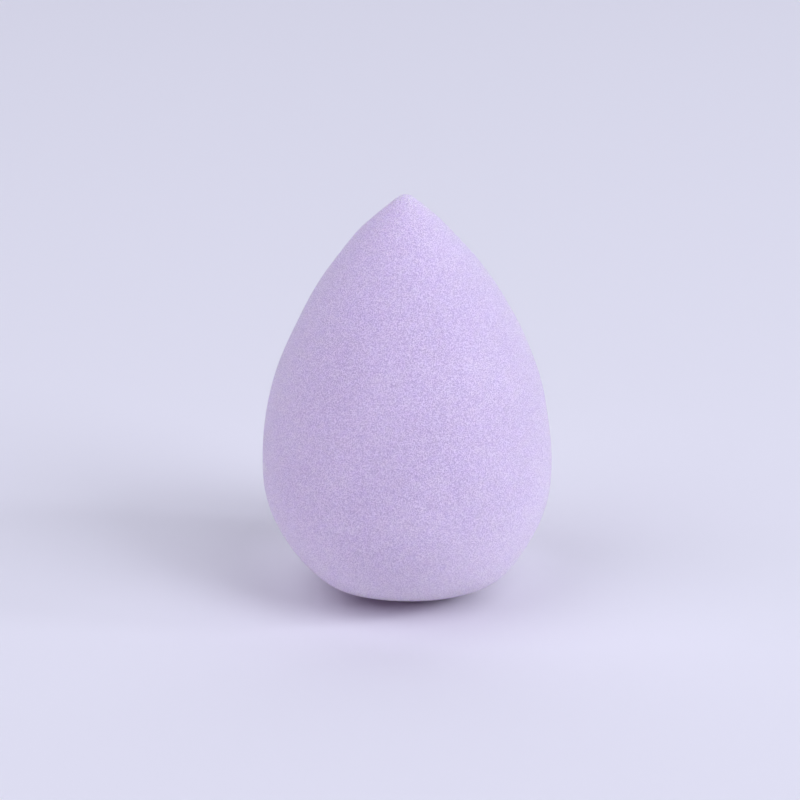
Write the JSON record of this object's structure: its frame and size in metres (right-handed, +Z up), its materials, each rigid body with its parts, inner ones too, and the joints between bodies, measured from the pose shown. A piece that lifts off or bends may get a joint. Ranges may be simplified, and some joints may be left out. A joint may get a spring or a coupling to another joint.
{
  "type": "makeup sponge",
  "caption": "Teardrop makeup sponge of soft open-cell foam: pointed tip, full rounded belly and a small flat foot to stand on.",
  "frame": {"origin": "middle of the flat foot, on the surface that the sponge stands on", "axes": "+Z up the sponge's axis, from the foot to the tip; X and Y are alike, because the sponge is round"},
  "size_m": [0.042, 0.042, 0.06],
  "materials": {
    "foam": "matte"
  },
  "bodies": {
    "root": {"foam_body": "foam"}
  },
  "joints": []
}
